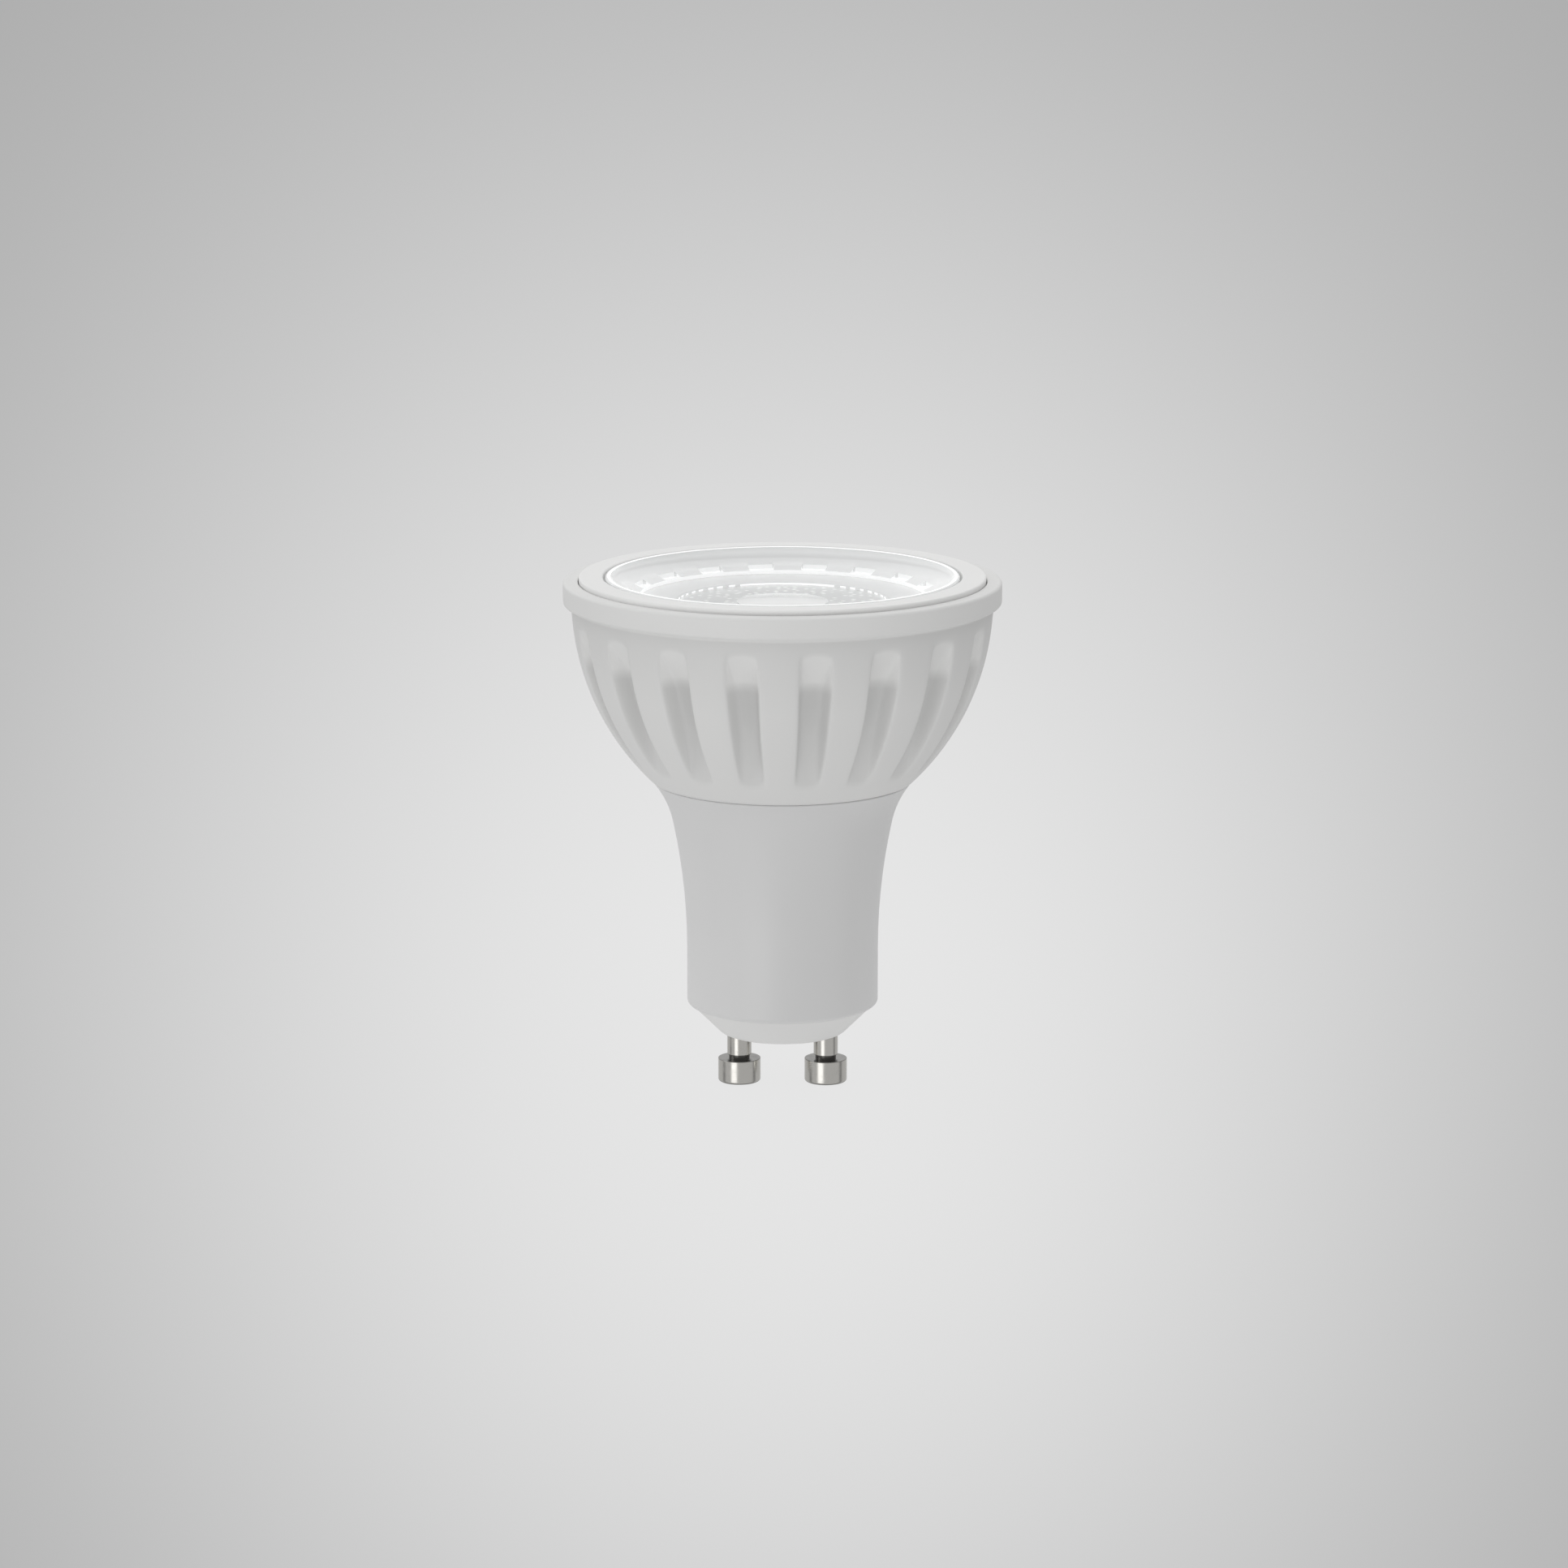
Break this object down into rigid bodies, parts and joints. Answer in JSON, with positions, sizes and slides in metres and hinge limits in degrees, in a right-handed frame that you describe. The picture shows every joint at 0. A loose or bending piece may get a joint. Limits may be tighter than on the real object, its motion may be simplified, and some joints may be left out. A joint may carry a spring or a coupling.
{
  "type": "gu10 spotlight bulb",
  "caption": "White reflector spotlight bulb with a fluted bowl, a flared neck, a clear dished lens in a front ring and a twist base with headed contact pins.",
  "frame": {"origin": "midpoint between the two contact pins, on the plane that their heads stand on", "axes": "+Z along the bulb's axis, out of the lens; the contact pins lie along X"},
  "size_m": [0.05, 0.05, 0.0594],
  "materials": {
    "white_bowl": "fine moulded matt",
    "white_ring": "moulded satin",
    "white_neck": "moulded satin",
    "white_cap": "moulded satin",
    "clear_plastic": "polished clear acrylic",
    "nickel": "nickel plated, turned",
    "aluminium": "drawn, dull",
    "thermal_pad": "soft grey sheet",
    "board_white": "white solder mask on aluminium",
    "ceramic": "fired ceramic",
    "white_resin": "dispensed resin",
    "phosphor": "yellow silicone",
    "steel": "zinc plated",
    "tinned_wire": "tinned copper",
    "black_wire": "wire insulation",
    "red_wire": "wire insulation",
    "board_green": "green solder mask",
    "ferrite": "sintered ferrite",
    "winding_tape": "yellow tape",
    "capacitor_sleeve": "shrunk sleeve",
    "resistor_body": "lacquered",
    "film_box": "moulded box",
    "black_resin": "moulded epoxy"
  },
  "bodies": {
    "root": {"heat_sink": "white_bowl", "metal_cup": "aluminium", "thermal_pad": "thermal_pad", "led_board": "board_white", "chip_carrier": "ceramic", "phosphor_dam": "white_resin", "phosphor": "phosphor", "board_screw_front": "steel", "board_screw_rear": "steel", "lens": "clear_plastic", "front_ring": "white_ring", "neck_housing": "white_neck", "end_cap": "white_cap", "contact_pin_left": "nickel", "contact_pin_right": "nickel", "pin_lead_left": "tinned_wire", "pin_lead_right": "tinned_wire", "led_lead_left": "black_wire", "led_lead_right": "red_wire", "driver_board": "board_green", "transformer_core": "ferrite", "transformer_winding": "winding_tape", "smoothing_capacitor": "capacitor_sleeve", "fuse_resistor": "resistor_body", "film_capacitor": "film_box", "bridge_rectifier": "black_resin", "driver_chip": "black_resin"}
  },
  "joints": []
}
